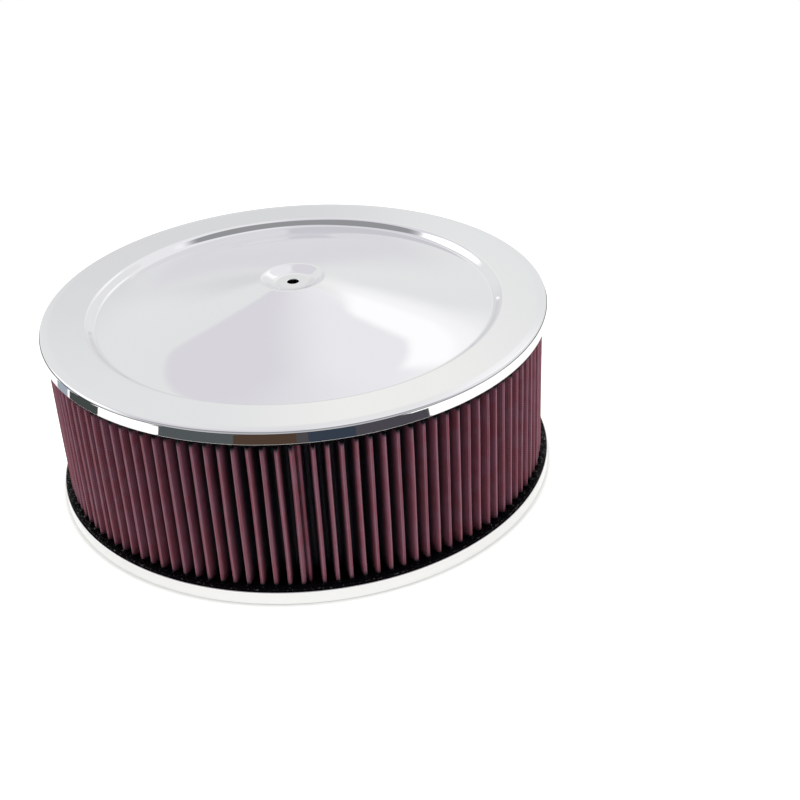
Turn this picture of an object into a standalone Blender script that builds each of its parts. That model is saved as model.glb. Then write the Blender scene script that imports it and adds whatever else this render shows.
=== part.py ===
"""Round carburetor air cleaner: a pressed lid and base that hold a pleated gauze element.

Metres, +Z up. The origin is on the axis, at the base's underside. The seam of the pleated pack is at -Y.
"""

import math

import bmesh
import bpy
from mathutils import Matrix, Vector

# Clearance that pieces keep where they touch
SEAT_GAP = 0.0003

# Sheet steel of the lid and the base
SHEET = 0.0009
EDGE_BEND = 0.0017
STEP_BEND = 0.0026

# Lid: rim, flat seat, step down into the recess, crown, dimple with the centre hole
LID_RADIUS = 0.1778
LID_RIM_HEIGHT = 0.0094
LID_STEP_DEPTH = 0.0048
LID_STEP_RUN = 0.0046
FOOT_RUN = 0.0358
FOOT_SLOPE = math.radians(5.6)
SHOULDER_SLOPE = math.radians(13.4)
BROW_SLOPE = math.radians(8.8)
SLOPE_RINGS = 2
DIMPLE_RADIUS = 0.0215
DIMPLE_FLOOR_RADIUS = 0.0143
DIMPLE_DEPTH = 0.0037
DIMPLE_BEND = 0.0020
CENTRE_HOLE_RADIUS = 0.0041

# Element: two moulded seals and the pleated pack between them
ELEMENT_HEIGHT = 0.1270
LID_CLEARANCE = 0.0005
SEAL_HEIGHT = 0.0105
SEAL_OUTER_LIP = 0.0011
SEAL_INNER_LIP = 0.0041
SEAL_CHAMFER = 0.0010
TROUGH_DEPTH = 0.0020
TROUGH_CLEARANCE = 0.0006

# Pleated pack: one sheet of gauze between wire screens
PLEAT_PITCH = 0.00895
PLEAT_DEPTH = 0.0200
MEDIA_THICKNESS = 0.0016
FOLD_RADIUS = 0.00125
CREST_STEPS = 2
ROOT_STEPS = 2
LAP_DEPTH = 0.0060
LAP_GROOVE = 0.0030

# Base: rim, flat seat, step up into the field, neck with its gasket seat and lip
BASE_CLEARANCE = 0.0021
BASE_RIM_HEIGHT = 0.0098
STEP_CLEARANCE = 0.0037
BASE_STEP_HEIGHT = 0.0050
BASE_STEP_RUN = 0.0046
NECK_RADIUS = 0.0700
NECK_LIP_HEIGHT = 0.0084
NECK_LIP_BEND = 0.0020
GASKET_INNER_RADIUS = 0.07475
GASKET_WIDTH = 0.00625
GASKET_THICKNESS = 0.0032
GASKET_CLEARANCE = 0.0005
GASKET_RECESS = 0.0016
GASKET_RECESS_RUN = 0.0008

# Breather port in the base, with a fixing hole on each side
PORT_RADIUS = 0.0130
FIXING_HOLE_SPACING = 0.0400
FIXING_HOLE_RADIUS = 0.0026
PORT_ANGLE = math.radians(120.0)
CUT_OVERRUN = 0.0040

# Facets
LID_SEGMENTS = 60
RING_SEGMENTS = 48
BEND_STEP = math.radians(45.0)
PORT_SEGMENTS = 24
HOLE_SEGMENTS = 12
SHARP_ANGLE = math.radians(35.0)

# Sizes that follow from the values above
SEAL_RADIUS = LID_RADIUS - SHEET - LID_CLEARANCE
PLEAT_OUTER_RADIUS = SEAL_RADIUS - SEAL_OUTER_LIP - TROUGH_CLEARANCE
PLEAT_INNER_RADIUS = PLEAT_OUTER_RADIUS - PLEAT_DEPTH
SEAL_INNER_RADIUS = PLEAT_INNER_RADIUS - TROUGH_CLEARANCE - SEAL_INNER_LIP
LID_STEP_RADIUS = SEAL_INNER_RADIUS - SHEET - STEP_CLEARANCE
BASE_STEP_RADIUS = SEAL_INNER_RADIUS - SHEET - STEP_CLEARANCE
BASE_RADIUS = SEAL_RADIUS + BASE_CLEARANCE + SHEET
GASKET_OUTER_RADIUS = GASKET_INNER_RADIUS + GASKET_WIDTH
GASKET_RECESS_RADIUS = GASKET_OUTER_RADIUS + GASKET_CLEARANCE
GASKET_SEAT = BASE_STEP_HEIGHT + GASKET_RECESS
PORT_PLACE_RADIUS = (BASE_STEP_RADIUS - BASE_STEP_RUN + GASKET_RECESS_RADIUS + GASKET_RECESS_RUN) / 2.0
PORT_PLACE = Vector((math.cos(PORT_ANGLE), math.sin(PORT_ANGLE), 0.0)) * PORT_PLACE_RADIUS
ELEMENT_SEAT = SHEET + SEAT_GAP
PLEAT_SEAT = ELEMENT_SEAT + SEAL_HEIGHT - TROUGH_DEPTH + SEAT_GAP
PLEAT_HEIGHT = ELEMENT_HEIGHT - 2.0 * (PLEAT_SEAT - ELEMENT_SEAT)
LID_SEAT = ELEMENT_SEAT + ELEMENT_HEIGHT + SEAT_GAP


def clear_scene():
    """Remove whatever the file holds."""
    for thing in list(bpy.data.objects):
        bpy.data.objects.remove(thing, do_unlink=True)


def finish(name, colour, roughness, metallic):
    """A Principled material with the piece's own colour."""
    material = bpy.data.materials.new(name)
    material.use_nodes = True
    shader = material.node_tree.nodes["Principled BSDF"]
    shader.inputs["Base Color"].default_value = (*colour, 1.0)
    shader.inputs["Roughness"].default_value = roughness
    shader.inputs["Metallic"].default_value = metallic
    return material


def mesh_object(name, bm, material):
    """Make a named object from the bmesh, with outward faces and smooth rounds."""
    bmesh.ops.recalc_face_normals(bm, faces=bm.faces)
    mesh = bpy.data.meshes.new(name)
    bm.to_mesh(mesh)
    bm.free()
    mesh.shade_smooth()
    mesh.set_sharp_from_angle(angle=SHARP_ANGLE)
    mesh.materials.append(material)
    piece = bpy.data.objects.new(name, mesh)
    bpy.context.scene.collection.objects.link(piece)
    return piece


def rounded_path(corners):
    """Polyline through corners of (radius, height, bend radius), with each bend as an arc."""
    points = [Vector(corners[0][:2])]
    for before, corner, after in zip(corners, corners[1:], corners[2:]):
        here = Vector(corner[:2])
        bend = corner[2]
        if bend == 0.0:
            points.append(here)
            continue
        back = (Vector(before[:2]) - here).normalized()
        onward = (Vector(after[:2]) - here).normalized()
        opening = back.angle(onward)
        turn = math.pi - opening
        centre = here + (back + onward).normalized() * bend / math.sin(opening / 2.0)
        arm = here + back * bend * math.tan(turn / 2.0) - centre
        side = math.copysign(turn, onward.x * back.y - onward.y * back.x)
        steps = max(1, round(turn / BEND_STEP))
        for step in range(steps + 1):
            points.append(centre + Matrix.Rotation(side * step / steps, 2) @ arm)
    points.append(Vector(corners[-1][:2]))
    return points


def offset_path(points, distance):
    """The polyline moved to the left of its run, with mitred corners."""
    runs = [(b - a).normalized() for a, b in zip(points, points[1:])]
    normals = [Vector((-run.y, run.x)) for run in runs]
    moved = []
    for point, before, after in zip(points, normals[:1] + normals, normals + normals[-1:]):
        mitre = (before + after).normalized()
        moved.append(point + mitre * distance / mitre.dot(before))
    return moved


def sheet_section(path, thickness):
    """Closed section of a sheet whose face follows the path; positive thickness lies to its left."""
    return path + offset_path(path, thickness)[::-1]


def turned(name, section, segments, material):
    """Ring of revolution about Z from a closed section of (radius, height) points."""
    bm = bmesh.new()
    ring = [bm.verts.new((point[0], 0.0, point[1])) for point in section]
    edges = [bm.edges.new(pair) for pair in zip(ring, ring[1:] + ring[:1])]
    bmesh.ops.spin(
        bm,
        geom=ring + edges,
        axis=(0.0, 0.0, 1.0),
        angle=2.0 * math.pi,
        steps=segments,
        use_merge=True,
    )
    return mesh_object(name, bm, material)


def climbing_arc(start, slope, end_radius, end_slope):
    """Plain corners of an arc that runs inwards and up from the start, from one slope to another.

    The slope's sine changes evenly with the radius, so the bend radius is the run over that change.
    """
    radius, height = start[:2]
    bend = (radius - end_radius) / (math.sin(end_slope) - math.sin(slope))
    corners = []
    for ring in range(1, SLOPE_RINGS + 1):
        share = ring / SLOPE_RINGS
        sine = math.sin(slope) + (math.sin(end_slope) - math.sin(slope)) * share
        rise = bend * (math.cos(slope) - math.sqrt(1.0 - sine**2))
        corners.append((radius + (end_radius - radius) * share, height + rise, 0.0))
    return corners


def build_lid(material):
    """Pressed lid, from the foot of its rim in to the centre hole. Its seat on the element is at z = 0."""
    top = SHEET
    recess_radius = LID_STEP_RADIUS - LID_STEP_RUN
    recess_height = top - LID_STEP_DEPTH
    foot = (recess_radius, recess_height, STEP_BEND)
    ease = climbing_arc(foot, FOOT_SLOPE, recess_radius - FOOT_RUN, SHOULDER_SLOPE)
    crown = climbing_arc(ease[-1], SHOULDER_SLOPE, DIMPLE_RADIUS, BROW_SLOPE)
    brow_height = crown[-1][1]
    corners = [
        (LID_RADIUS, top - LID_RIM_HEIGHT, 0.0),
        (LID_RADIUS, top, EDGE_BEND),
        (LID_STEP_RADIUS, top, STEP_BEND),
        foot,
        *ease,
        *crown[:-1],
        (DIMPLE_RADIUS, brow_height, DIMPLE_BEND),
        (DIMPLE_FLOOR_RADIUS, brow_height - DIMPLE_DEPTH, DIMPLE_BEND),
        (CENTRE_HOLE_RADIUS, brow_height - DIMPLE_DEPTH, 0.0),
    ]
    section = sheet_section(rounded_path(corners), SHEET)
    lid = turned("lid", section, LID_SEGMENTS, material)
    lid.location.z = LID_SEAT
    return lid


def build_seals(material):
    """Moulded end rings, each with a trough for the ends of the pleats. The upper one is turned over."""
    trough_outer = PLEAT_OUTER_RADIUS + TROUGH_CLEARANCE
    trough_inner = PLEAT_INNER_RADIUS - TROUGH_CLEARANCE
    trough_floor = SEAL_HEIGHT - TROUGH_DEPTH
    section = [
        (SEAL_INNER_RADIUS + SEAL_CHAMFER, 0.0),
        (SEAL_RADIUS - SEAL_CHAMFER, 0.0),
        (SEAL_RADIUS, SEAL_CHAMFER),
        (SEAL_RADIUS, SEAL_HEIGHT),
        (trough_outer, SEAL_HEIGHT),
        (trough_outer, trough_floor),
        (trough_inner, trough_floor),
        (trough_inner, SEAL_HEIGHT),
        (SEAL_INNER_RADIUS, SEAL_HEIGHT),
        (SEAL_INNER_RADIUS, SEAL_CHAMFER),
    ]
    bottom_seal = turned("bottom_seal", section, RING_SEGMENTS, material)
    bottom_seal.location.z = ELEMENT_SEAT
    top_seal = bpy.data.objects.new("top_seal", bottom_seal.data)
    bpy.context.scene.collection.objects.link(top_seal)
    top_seal.location.z = ELEMENT_SEAT + ELEMENT_HEIGHT
    top_seal.rotation_euler.x = math.pi
    return bottom_seal, top_seal


def polar(radius, angle):
    """Point in the plan; angle 0 is at -Y and grows towards +X."""
    return Vector((radius * math.sin(angle), -radius * math.cos(angle)))


def fold_lean(crest_radius, root_radius, half_pitch):
    """Lean of a pleat's flank from the crest's own radial line."""
    across = root_radius * math.sin(half_pitch)
    along = crest_radius - root_radius * math.cos(half_pitch)
    reach = math.hypot(across, along)
    return math.atan2(across, along) - math.asin(2.0 * FOLD_RADIUS / reach)


def fold(centre_radius, angle, span, steps, outward):
    """Pairs of (outer face, inner face) points round a fold of the sheet.

    A crest bulges outward and a root inward, so the sheet's two faces swap their bend radii there.
    """
    centre = polar(centre_radius, angle)
    way = 1.0 if outward else -1.0
    outer_bend = FOLD_RADIUS + way * MEDIA_THICKNESS / 2.0
    inner_bend = FOLD_RADIUS - way * MEDIA_THICKNESS / 2.0
    pairs = []
    for step in range(steps + 1):
        turn = span * (2.0 * step / steps - 1.0)
        arm = polar(way, angle + way * turn)
        pairs.append((centre + arm * outer_bend, centre + arm * inner_bend))
    return pairs


def lap(crest_radius, first_angle, second_angle, span):
    """Pairs round the glued lap: two crests side by side with a groove, and one solid web behind."""
    first = fold(crest_radius, first_angle, span, CREST_STEPS, True)[:-1]
    second = fold(crest_radius, second_angle, span, CREST_STEPS, True)[1:]
    middle_angle = (first_angle + second_angle) / 2.0
    groove = polar(PLEAT_OUTER_RADIUS - LAP_GROOVE, middle_angle)
    outer = [pair[0] for pair in first] + [groove] + [pair[0] for pair in second]
    inset = math.sin(span) * (FOLD_RADIUS - MEDIA_THICKNESS / 2.0) / crest_radius
    drop = crest_radius - (PLEAT_OUTER_RADIUS - LAP_DEPTH)
    spread = inset + drop * math.cos(span) / crest_radius
    start = first_angle - spread
    sweep = second_angle + spread - start
    web_radius = PLEAT_OUTER_RADIUS - LAP_DEPTH
    inner = [polar(web_radius, start + sweep * i / (len(outer) - 1)) for i in range(len(outer))]
    return list(zip(outer, inner))


def pleat_pairs():
    """Pairs of points round the whole pack: the lap first, then each root and crest in turn."""
    count = round(2.0 * math.pi * PLEAT_OUTER_RADIUS / PLEAT_PITCH - 0.5)
    pitch = 2.0 * math.pi / (count + 0.5)
    outside_bend = FOLD_RADIUS + MEDIA_THICKNESS / 2.0
    crest_radius = PLEAT_OUTER_RADIUS - outside_bend
    root_radius = PLEAT_INNER_RADIUS + outside_bend
    lean = fold_lean(crest_radius, root_radius, pitch / 2.0)
    crest_span = math.pi / 2.0 - lean
    root_span = crest_span - pitch / 2.0
    pairs = lap(crest_radius, -pitch / 4.0, pitch / 4.0, crest_span)
    for index in range(count):
        angle = pitch * (index + 0.75)
        pairs += fold(root_radius, angle, root_span, ROOT_STEPS, False)
        if index < count - 1:
            pairs += fold(crest_radius, angle + pitch / 2.0, crest_span, CREST_STEPS, True)
    return pairs


def build_media(material):
    """Folded pack, extruded from its plan. It stands in the lower seal's trough."""
    bm = bmesh.new()
    pairs = pleat_pairs()
    outer = [bm.verts.new((*pair[0], 0.0)) for pair in pairs]
    inner = [bm.verts.new((*pair[1], 0.0)) for pair in pairs]
    for index in range(len(pairs)):
        after = (index + 1) % len(pairs)
        bm.faces.new((outer[index], outer[after], inner[after], inner[index]))
    raised = bmesh.ops.extrude_face_region(bm, geom=bm.faces[:])["geom"]
    tops = [item for item in raised if isinstance(item, bmesh.types.BMVert)]
    bmesh.ops.translate(bm, verts=tops, vec=(0.0, 0.0, PLEAT_HEIGHT))
    media = mesh_object("pleated_media", bm, material)
    media.location.z = PLEAT_SEAT
    return media


def cut_round(piece, name, place, radius, segments):
    """Cut an upright round hole through the piece with a hidden cutter."""
    bm = bmesh.new()
    bmesh.ops.create_cone(
        bm,
        cap_ends=True,
        segments=segments,
        radius1=radius,
        radius2=radius,
        depth=SHEET + 2.0 * CUT_OVERRUN,
    )
    mesh = bpy.data.meshes.new(name)
    bm.to_mesh(mesh)
    bm.free()
    cutter = bpy.data.objects.new(name, mesh)
    bpy.context.scene.collection.objects.link(cutter)
    cutter.location = place
    cutter.parent = piece
    cutter.hide_render = True
    cutter.display_type = "WIRE"
    cut = piece.modifiers.new(name, "BOOLEAN")
    cut.operation = "DIFFERENCE"
    cut.object = cutter


def build_base(material):
    """Pressed base, from the top of its rim in to the lip of the neck, with the breather port."""
    field_radius = BASE_STEP_RADIUS - BASE_STEP_RUN
    corners = [
        (BASE_RADIUS, BASE_RIM_HEIGHT, 0.0),
        (BASE_RADIUS, 0.0, EDGE_BEND),
        (BASE_STEP_RADIUS, 0.0, STEP_BEND),
        (field_radius, BASE_STEP_HEIGHT, STEP_BEND),
        (GASKET_RECESS_RADIUS + GASKET_RECESS_RUN, BASE_STEP_HEIGHT, 0.0),
        (GASKET_RECESS_RADIUS, GASKET_SEAT, 0.0),
        (NECK_RADIUS, GASKET_SEAT, NECK_LIP_BEND),
        (NECK_RADIUS, GASKET_SEAT + NECK_LIP_HEIGHT, 0.0),
    ]
    section = sheet_section(rounded_path(corners), -SHEET)
    base = turned("base_plate", section, RING_SEGMENTS, material)
    middle = PORT_PLACE + Vector((0.0, 0.0, BASE_STEP_HEIGHT + SHEET / 2.0))
    along = Vector((-math.sin(PORT_ANGLE), math.cos(PORT_ANGLE), 0.0)) * FIXING_HOLE_SPACING / 2.0
    cut_round(base, "breather_port_cut", middle, PORT_RADIUS, PORT_SEGMENTS)
    cut_round(base, "fixing_hole_cut_1", middle + along, FIXING_HOLE_RADIUS, HOLE_SEGMENTS)
    cut_round(base, "fixing_hole_cut_2", middle - along, FIXING_HOLE_RADIUS, HOLE_SEGMENTS)
    return base


def build_gasket(material):
    """Flat rubber ring that sits under the neck, in its shallow recess."""
    section = [
        (GASKET_INNER_RADIUS, 0.0),
        (GASKET_OUTER_RADIUS, 0.0),
        (GASKET_OUTER_RADIUS, GASKET_THICKNESS),
        (GASKET_INNER_RADIUS, GASKET_THICKNESS),
    ]
    gasket = turned("neck_gasket", section, RING_SEGMENTS, material)
    gasket.location.z = GASKET_SEAT - SEAT_GAP - GASKET_THICKNESS
    return gasket


def main():
    """Clear the scene and build each piece in place."""
    clear_scene()
    plated_steel = finish("plated_steel", (0.80, 0.80, 0.82), 0.05, 1.0)
    urethane = finish("black_urethane", (0.012, 0.012, 0.014), 0.35, 0.0)
    oiled_gauze = finish("oiled_gauze", (0.190, 0.034, 0.056), 0.60, 0.0)
    gasket_rubber = finish("gasket_rubber", (0.025, 0.024, 0.030), 0.70, 0.0)
    build_base(plated_steel)
    build_gasket(gasket_rubber)
    build_seals(urethane)
    build_media(oiled_gauze)
    build_lid(plated_steel)


main()
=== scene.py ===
"""Finish of a round carburetor air cleaner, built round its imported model.

Metres, +Z up, in the model's own frame: the origin is on the axis at the base's underside, and the
lap of the pleats is at -Y.
"""

from __future__ import annotations

import logging
import math
from dataclasses import dataclass
from enum import Enum

import bmesh
import bpy
import numpy as np
from mathutils import Matrix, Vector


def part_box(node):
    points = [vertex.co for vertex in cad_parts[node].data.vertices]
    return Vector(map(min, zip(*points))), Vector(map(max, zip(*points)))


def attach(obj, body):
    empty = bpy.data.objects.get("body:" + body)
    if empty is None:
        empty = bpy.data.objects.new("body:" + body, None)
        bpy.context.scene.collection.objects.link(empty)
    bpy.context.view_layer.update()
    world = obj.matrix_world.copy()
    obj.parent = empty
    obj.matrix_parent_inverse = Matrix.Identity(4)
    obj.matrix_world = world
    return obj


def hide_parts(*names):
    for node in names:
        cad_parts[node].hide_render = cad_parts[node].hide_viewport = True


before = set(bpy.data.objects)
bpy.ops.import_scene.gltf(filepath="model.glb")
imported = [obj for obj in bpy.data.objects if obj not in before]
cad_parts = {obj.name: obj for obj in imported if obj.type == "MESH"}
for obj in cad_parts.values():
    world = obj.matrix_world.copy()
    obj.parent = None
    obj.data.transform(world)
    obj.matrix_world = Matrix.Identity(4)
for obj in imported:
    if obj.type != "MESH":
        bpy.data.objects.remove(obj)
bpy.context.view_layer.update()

Array = np.ndarray
Pair = tuple[Array, Array]
Piece = bpy.types.Object
Material = bpy.types.Material
Node = bpy.types.Node
Socket = bpy.types.NodeSocket
Tree = bpy.types.NodeTree
Inputs = dict[str | int, Node | Socket | float | tuple[float, ...]]

LOG = logging.getLogger("air_cleaner")
MM = 0.001
FULL_TURN = 2.0 * math.pi


class Slot(Enum):
    """Material slots of the record."""

    PLATED_STEEL = "plated_steel"
    URETHANE = "urethane"
    OILED_GAUZE = "oiled_gauze"
    GASKET_RUBBER = "gasket_rubber"


class End(Enum):
    """The two ends of the filter element."""

    LOWER = "lower"
    UPPER = "upper"


# Colours and nodes


def linear(hex_colour: str, strength: float = 1.0) -> tuple[float, float, float, float]:
    """Turn an sRGB hex colour to linear light.

    Args:
        hex_colour: six hex digits after a #.
        strength: factor on the linear values.

    Returns:
        Red, green, blue and an alpha of 1.
    """
    srgb = np.array([int(hex_colour[i : i + 2], 16) for i in (1, 3, 5)]) / 255.0
    light = np.where(srgb <= 0.04045, srgb / 12.92, ((srgb + 0.055) / 1.055) ** 2.4)
    return (*(light * strength).tolist(), 1.0)


def add(tree: Tree, kind: str, inputs: Inputs | None = None, **settings: object) -> Node:
    """Add one node with its settings, its input values and its links.

    Args:
        tree: the node tree to add to.
        kind: the node's type name, without its ShaderNode prefix.
        inputs: for each input, by name or number, its value or the socket or node that feeds it.
        settings: the node's own properties.

    Returns:
        The new node.
    """
    node = tree.nodes.new("ShaderNode" + kind)
    for key, value in settings.items():
        setattr(node, key, value)
    for key, value in (inputs or {}).items():
        source = value.outputs[0] if isinstance(value, Node) else value
        if isinstance(source, Socket):
            tree.links.new(source, node.inputs[key])
        else:
            node.inputs[key].default_value = source
    return node


def blank_material(name: str) -> tuple[Material, Tree]:
    """New material with an empty node tree."""
    material = bpy.data.materials.new(name)
    material.use_nodes = True
    material.node_tree.nodes.clear()
    return material, material.node_tree


# Surfaces as arrays


def unit(vectors: Array) -> Array:
    """Vectors over their lengths."""
    return vectors / np.maximum(np.linalg.norm(vectors, axis=-1, keepdims=True), 1e-12)


def rounded(corners: Array, steps: int) -> Array:
    """Profile through corners of (radius, height, bend radius), with each bend as an arc.

    With a and b the directions back and onward from a corner, and h half the angle between them,
    the arc's centre is the corner plus unit(a + b) times bend over sin h. Its points are
    sin((1 - t) w) / sin w of the arm to the first tangent point plus sin(t w) / sin w of the arm
    to the second, with w = pi - 2 h. A point a chord before and after each arc keeps smooth shading
    off the straight stretches.

    Args:
        corners: rows of radius, height and bend radius, with no bend at the two ends.
        steps: number of chords in each arc.

    Returns:
        Rows of radius and height.
    """
    place, bend = corners[:, :2], corners[1:-1, 2:]
    back, onward = unit(place[:-2] - place[1:-1]), unit(place[2:] - place[1:-1])
    half = np.arccos(np.clip((back * onward).sum(1, keepdims=True), -1.0, 1.0)) / 2.0
    centre = place[1:-1] + unit(back + onward) * bend / np.sin(half)
    reach = bend / np.tan(half)
    first, second = place[1:-1] + back * reach - centre, place[1:-1] + onward * reach - centre
    sweep = np.maximum(math.pi - 2.0 * half, 1e-9)
    share = np.linspace(0.0, 1.0, steps + 1)[None, :, None]
    turn = sweep[:, None]
    arms = np.sin((1.0 - share) * turn) * first[:, None] + np.sin(share * turn) * second[:, None]
    chord = reach + bend * sweep / steps
    before, after = place[1:-1] + back * chord, place[1:-1] + onward * chord
    bends = np.concatenate([before[:, None], centre[:, None] + arms / np.sin(turn), after[:, None]], 1)
    path = np.vstack([place[:1], bends.reshape(-1, 2), place[-1:]])
    moved = np.linalg.norm(np.diff(path, axis=0), axis=1) > 1e-7
    return path[np.concatenate([[True], moved])]


def offset(path: Array, distance: float) -> Array:
    """Path moved to the left of its run: each point along its mitre, by distance over the cosine."""
    run = unit(np.diff(path, axis=0))
    normal = np.stack([-run[:, 1], run[:, 0]], 1)
    before, after = np.vstack([normal[:1], normal]), np.vstack([normal, normal[-1:]])
    mitre = unit(before + after)
    return path + mitre * distance / (mitre * before).sum(1, keepdims=True)


def sheet_section(face: Array, thickness: float, cap_steps: int = 6) -> Array:
    """Closed section of a sheet with half-round edges.

    Each edge is a half circle about the end of the middle line: cos(t) of the arm to one face plus
    sin(t) of the arm along the sheet. Two points near each edge keep smooth shading off the faces.

    Args:
        face: the face's path, in radius and height.
        thickness: the sheet's thickness, positive to the left of the path's run.
        cap_steps: points on each edge's half circle.

    Returns:
        Rows of radius and height, once round the section.
    """
    half = thickness / 2.0
    start_way, end_way = unit(face[0] - face[1]), unit(face[-1] - face[-2])
    inset = np.array([[1.0], [2.0]]) * abs(half)
    trimmed = np.vstack([face[0] - start_way * inset, face[1:-1], face[-1] - end_way * inset[::-1]])
    middle, back = offset(trimmed, half), offset(trimmed, thickness)[::-1]
    turn = np.linspace(0.0, math.pi, cap_steps + 2)[1:-1, None]
    end_cap = middle[-1] + np.cos(turn) * (trimmed[-1] - middle[-1]) + np.sin(turn) * end_way * abs(half)
    start_cap = middle[0] + np.cos(turn) * (back[-1] - middle[0]) + np.sin(turn) * start_way * abs(half)
    return np.vstack([trimmed, end_cap, back, start_cap])


def turned(section: Array, segments: int) -> Array:
    """Grid of a section turned about Z: x = r cos a, y = r sin a, z = h, for even steps of a."""
    angle = np.linspace(0.0, FULL_TURN, segments, endpoint=False)[:, None]
    radius, height = section[None, :, 0], section[None, :, 1]
    return np.stack([radius * np.cos(angle), radius * np.sin(angle), height + 0.0 * angle], -1)


def polar(radius: Array | float, angle: Array | float) -> Array:
    """Plan points (r sin a, -r cos a): angle 0 is at -Y and grows towards +X."""
    return np.stack([radius * np.sin(angle), -radius * np.cos(angle)], -1)


def in_scene(name: str, data: bpy.types.ID) -> Piece:
    """New object with this data, in the scene and at the origin."""
    piece = bpy.data.objects.new(name, data)
    bpy.context.scene.collection.objects.link(piece)
    return piece


def grid_mesh(name: str, grid: Array, uv: Array | None = None, closed: bool = True,
              values: dict[str, Array] | None = None) -> Piece:
    """Object of quads over a grid of points.

    Each joins (i, j), (i + 1, j), (i + 1, j + 1) and (i, j + 1), wrapping where the grid is closed.
    They are turned round where the sum of a . (b x c), six times the volume, is negative.

    Args:
        name: the object's name.
        grid: points, rows by columns by 3.
        uv: texture places in metres, one row and one column more than the grid.
        closed: whether rows and columns join round.
        values: attribute name to one number for each point.

    Returns:
        The new object.
    """
    rows, columns = grid.shape[:2]
    points = grid.reshape(-1, 3)
    i, j = np.meshgrid(np.arange(rows - (not closed)), np.arange(columns - (not closed)), indexing="ij")
    steps = ((0, 0), (1, 0), (1, 1), (0, 1))
    quads = np.stack([(i + a) % rows * columns + (j + b) % columns for a, b in steps], -1).reshape(-1, 4)
    a, b, c, d = (points[quads[:, k]] for k in range(4))
    if closed and (a * (np.cross(b, c) + np.cross(c, d))).sum() < 0.0:
        quads, steps = quads[:, ::-1], steps[::-1]
    mesh = bpy.data.meshes.new(name)
    mesh.from_pydata(points, [], quads)
    if uv is not None:
        corners = np.stack([uv[i + a, j + b] for a, b in steps], -2)
        mesh.uv_layers.new(name="UVMap").data.foreach_set("uv", corners.astype(np.float32).ravel())
    for key, numbers in (values or {}).items():
        layer = mesh.attributes.new(key, "FLOAT", "POINT")
        layer.data.foreach_set("value", numbers.astype(np.float32).ravel())
    mesh.validate()
    mesh.shade_smooth()
    return in_scene(name, mesh)


def hand_over(piece: Piece, material: Material, node: str) -> None:
    """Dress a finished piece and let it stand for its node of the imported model.

    Args:
        piece: the finished object, at the origin.
        material: its finish.
        node: the node that it replaces.
    """
    piece.data.materials.clear()
    piece.data.materials.append(material)
    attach(piece, "root")
    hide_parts(node)
    LOG.info("%s: %d faces, %s", piece.name, len(piece.data.polygons), material.name)


# Finishes


@dataclass(frozen=True)
class BrightChrome:
    """Decorative chromium over nickel on pressed steel, buffed before plating.

    It mirrors the studio almost unbroken. The press leaves a slow ripple in the sheet, and the
    buffing wheel a faint, patchy haze.
    """

    colour: str = "#E9E9EB"
    roughness: float = 0.025
    haze: float = 0.03
    haze_patch: float = 38.0 * MM
    ripple: float = 60.0 * MM
    ripple_height: float = 0.15 * MM

    def build(self) -> Material:
        """Make the material."""
        material, tree = blank_material("bright_chrome_plate")
        place = add(tree, "TexCoord").outputs["Object"]
        haze = add(tree, "TexNoise", {"Vector": place, "Scale": 1.0 / self.haze_patch, "Detail": 4.0})
        rough = add(tree, "MapRange", {
            0: haze, 1: 0.35, 2: 0.75, 3: self.roughness, 4: self.roughness + self.haze,
        })
        ripple = add(tree, "TexNoise", {"Vector": place, "Scale": 1.0 / self.ripple, "Detail": 1.0})
        bump = add(tree, "Bump", {"Distance": self.ripple_height, "Height": ripple})
        plate = add(tree, "BsdfPrincipled", {
            "Base Color": linear(self.colour), "Metallic": 1.0, "Roughness": rough, "Normal": bump,
        })
        add(tree, "OutputMaterial", {"Surface": plate})
        return material


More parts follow.
